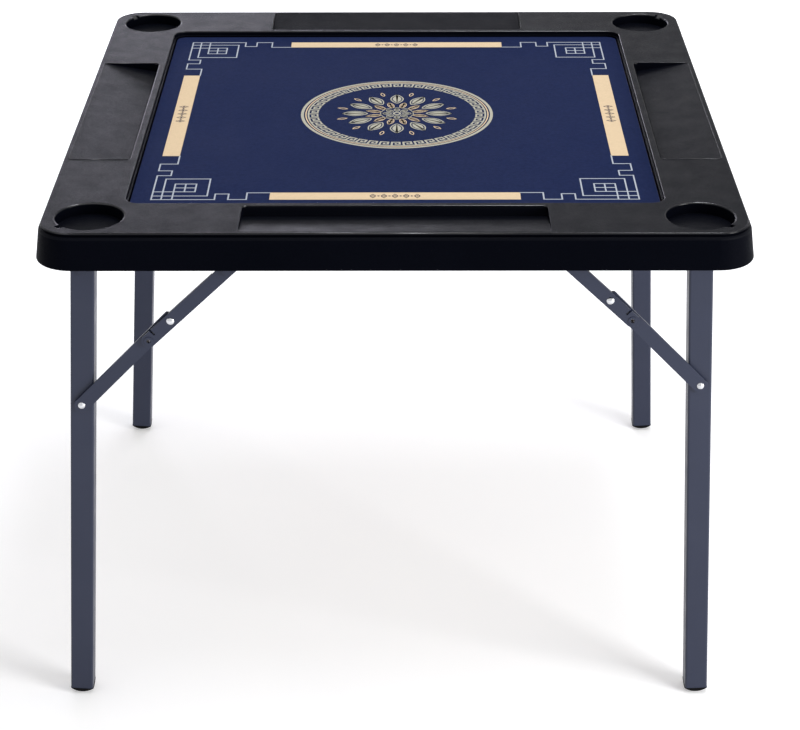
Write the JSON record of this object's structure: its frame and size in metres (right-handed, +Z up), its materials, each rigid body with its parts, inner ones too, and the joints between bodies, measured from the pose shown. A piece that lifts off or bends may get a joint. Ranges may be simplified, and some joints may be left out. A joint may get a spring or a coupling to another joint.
{
  "type": "folding game table",
  "caption": "Square folding games table: moulded frame with cup wells and sloped trays round a recessed covered board, on splayed tube legs with locking knee braces.",
  "frame": {"origin": "on the floor under the middle of the top", "axes": "+X to the right and +Y to the back as pictured, +Z up"},
  "size_m": [0.8856, 0.88, 0.705],
  "materials": {
    "frame_plastic": "satin, fine leather grain",
    "board": "fibreboard",
    "mat": "woven, printed",
    "charcoal_steel": "powder coated, semi-gloss",
    "spring_steel": "blackened",
    "zinc": "zinc plated",
    "washer_nylon": "natural",
    "cap_plastic": "matte"
  },
  "bodies": {
    "table_top": {"top_frame": "frame_plastic", "play_board": "board", "play_mat": "mat", "board_screws": "zinc", "hinge_bracket_front_right": "charcoal_steel", "anchor_bracket_front_right": "charcoal_steel", "hinge_pin_front_right": "charcoal_steel", "anchor_pin_front_right": "charcoal_steel", "hinge_bracket_back_right": "charcoal_steel", "anchor_bracket_back_right": "charcoal_steel", "hinge_pin_back_right": "charcoal_steel", "anchor_pin_back_right": "charcoal_steel", "hinge_bracket_front_left": "charcoal_steel", "anchor_bracket_front_left": "charcoal_steel", "hinge_pin_front_left": "charcoal_steel", "anchor_pin_front_left": "charcoal_steel", "hinge_bracket_back_left": "charcoal_steel", "anchor_bracket_back_left": "charcoal_steel", "hinge_pin_back_left": "charcoal_steel", "anchor_pin_back_left": "charcoal_steel", "bracket_screws": "zinc", "hinge_washers": "washer_nylon"},
    "leg_body_front_right": {"leg_front_right": "charcoal_steel", "foot_cap_front_right": "cap_plastic"},
    "upper_link_front_right": {"upper_brace_front_right": "charcoal_steel", "knee_rivet_front_right": "charcoal_steel", "knee_washer_front_right": "zinc", "catch_spring_front_right": "spring_steel", "spring_rivet_front_right": "zinc"},
    "lower_link_front_right": {"lower_brace_front_right": "charcoal_steel", "leg_rivet_front_right": "zinc"},
    "leg_body_back_right": {"leg_back_right": "charcoal_steel", "foot_cap_back_right": "cap_plastic"},
    "upper_link_back_right": {"upper_brace_back_right": "charcoal_steel", "knee_rivet_back_right": "charcoal_steel", "knee_washer_back_right": "zinc", "catch_spring_back_right": "spring_steel", "spring_rivet_back_right": "zinc"},
    "lower_link_back_right": {"lower_brace_back_right": "charcoal_steel", "leg_rivet_back_right": "zinc"},
    "leg_body_front_left": {"leg_front_left": "charcoal_steel", "foot_cap_front_left": "cap_plastic"},
    "upper_link_front_left": {"upper_brace_front_left": "charcoal_steel", "knee_rivet_front_left": "charcoal_steel", "knee_washer_front_left": "zinc", "catch_spring_front_left": "spring_steel", "spring_rivet_front_left": "zinc"},
    "lower_link_front_left": {"lower_brace_front_left": "charcoal_steel", "leg_rivet_front_left": "zinc"},
    "leg_body_back_left": {"leg_back_left": "charcoal_steel", "foot_cap_back_left": "cap_plastic"},
    "upper_link_back_left": {"upper_brace_back_left": "charcoal_steel", "knee_rivet_back_left": "charcoal_steel", "knee_washer_back_left": "zinc", "catch_spring_back_left": "spring_steel", "spring_rivet_back_left": "zinc"},
    "lower_link_back_left": {"lower_brace_back_left": "charcoal_steel", "leg_rivet_back_left": "zinc"}
  },
  "joints": [
    {"name": "leg_fold_front_right", "type": "hinge", "parent": "table_top", "child": "leg_body_front_right", "pos_m": [0.3765, -0.373, 0.6695], "axis": [0, 1, 0], "range_deg": [0, 92.9]},
    {"name": "anchor_turn_front_right", "type": "hinge", "parent": "table_top", "child": "upper_link_front_right", "pos_m": [0.19375, -0.3972, 0.66888], "axis": [0, 1, 0], "range_deg": [0, 133.9]},
    {"name": "knee_turn_front_right", "type": "hinge", "parent": "upper_link_front_right", "child": "lower_link_front_right", "pos_m": [0.2954, -0.3915, 0.57174], "axis": [0, 1, 0], "range_deg": [-183.4, 0]},
    {"name": "leg_fold_back_right", "type": "hinge", "parent": "table_top", "child": "leg_body_back_right", "pos_m": [0.3765, 0.373, 0.6695], "axis": [0, 1, 0], "range_deg": [0, 92.9]},
    {"name": "anchor_turn_back_right", "type": "hinge", "parent": "table_top", "child": "upper_link_back_right", "pos_m": [0.19375, 0.3972, 0.66888], "axis": [0, 1, 0], "range_deg": [0, 133.9]},
    {"name": "knee_turn_back_right", "type": "hinge", "parent": "upper_link_back_right", "child": "lower_link_back_right", "pos_m": [0.2954, 0.3915, 0.57174], "axis": [0, 1, 0], "range_deg": [-183.4, 0]},
    {"name": "leg_fold_front_left", "type": "hinge", "parent": "table_top", "child": "leg_body_front_left", "pos_m": [-0.386, -0.373, 0.6385], "axis": [0, -1, 0], "range_deg": [0, 94]},
    {"name": "anchor_turn_front_left", "type": "hinge", "parent": "table_top", "child": "upper_link_front_left", "pos_m": [-0.20671, -0.3972, 0.64139], "axis": [0, -1, 0], "range_deg": [0, 139.8]},
    {"name": "knee_turn_front_left", "type": "hinge", "parent": "upper_link_front_left", "child": "lower_link_front_left", "pos_m": [-0.30835, -0.3915, 0.54425], "axis": [0, -1, 0], "range_deg": [-181.4, 0]},
    {"name": "leg_fold_back_left", "type": "hinge", "parent": "table_top", "child": "leg_body_back_left", "pos_m": [-0.386, 0.373, 0.6385], "axis": [0, -1, 0], "range_deg": [0, 94]},
    {"name": "anchor_turn_back_left", "type": "hinge", "parent": "table_top", "child": "upper_link_back_left", "pos_m": [-0.20671, 0.3972, 0.64139], "axis": [0, -1, 0], "range_deg": [0, 139.8]},
    {"name": "knee_turn_back_left", "type": "hinge", "parent": "upper_link_back_left", "child": "lower_link_back_left", "pos_m": [-0.30835, 0.3915, 0.54425], "axis": [0, -1, 0], "range_deg": [-181.4, 0]}
  ],
  "couplings": [
    {"joint": "anchor_turn_front_right", "follows": "leg_fold_front_right", "ratio": 1.4356},
    {"joint": "knee_turn_front_right", "follows": "leg_fold_front_right", "ratio": -1.9687},
    {"joint": "anchor_turn_back_right", "follows": "leg_fold_back_right", "ratio": 1.4356},
    {"joint": "knee_turn_back_right", "follows": "leg_fold_back_right", "ratio": -1.9687},
    {"joint": "anchor_turn_front_left", "follows": "leg_fold_front_left", "ratio": 1.4815},
    {"joint": "knee_turn_front_left", "follows": "leg_fold_front_left", "ratio": -1.9246},
    {"joint": "anchor_turn_back_left", "follows": "leg_fold_back_left", "ratio": 1.4815},
    {"joint": "knee_turn_back_left", "follows": "leg_fold_back_left", "ratio": -1.9246}
  ]
}
